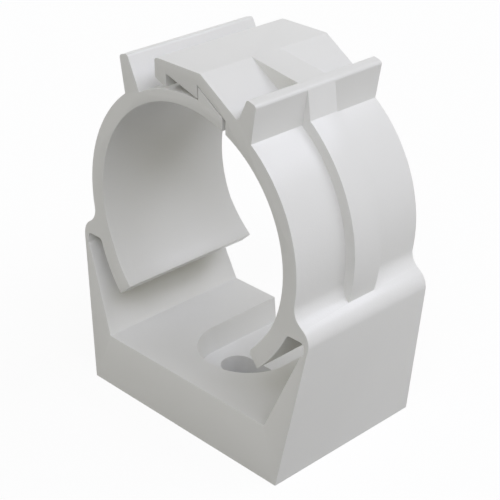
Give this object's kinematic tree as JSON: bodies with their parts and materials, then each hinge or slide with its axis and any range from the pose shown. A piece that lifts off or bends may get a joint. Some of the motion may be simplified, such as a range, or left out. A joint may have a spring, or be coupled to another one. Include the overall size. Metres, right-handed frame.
{
  "type": "pipe clamp",
  "caption": "Snap-closing plastic pipe clip with a flared screw-down base, film-hinge shoulders, lipped arms, a ratchet latch between ears and outer ribs.",
  "frame": {"origin": "middle of the base's underside, on the wall it is screwed to", "axes": "+Z away from the wall, +Y along the pipe towards the open end of the screw recess, +X across the pipe towards the arm that carries the hook"},
  "size_m": [0.0406, 0.0242, 0.0481],
  "materials": {
    "light_grey_plastic": "satin"
  },
  "bodies": {
    "root": {"clamp_body": "light_grey_plastic"}
  },
  "joints": []
}
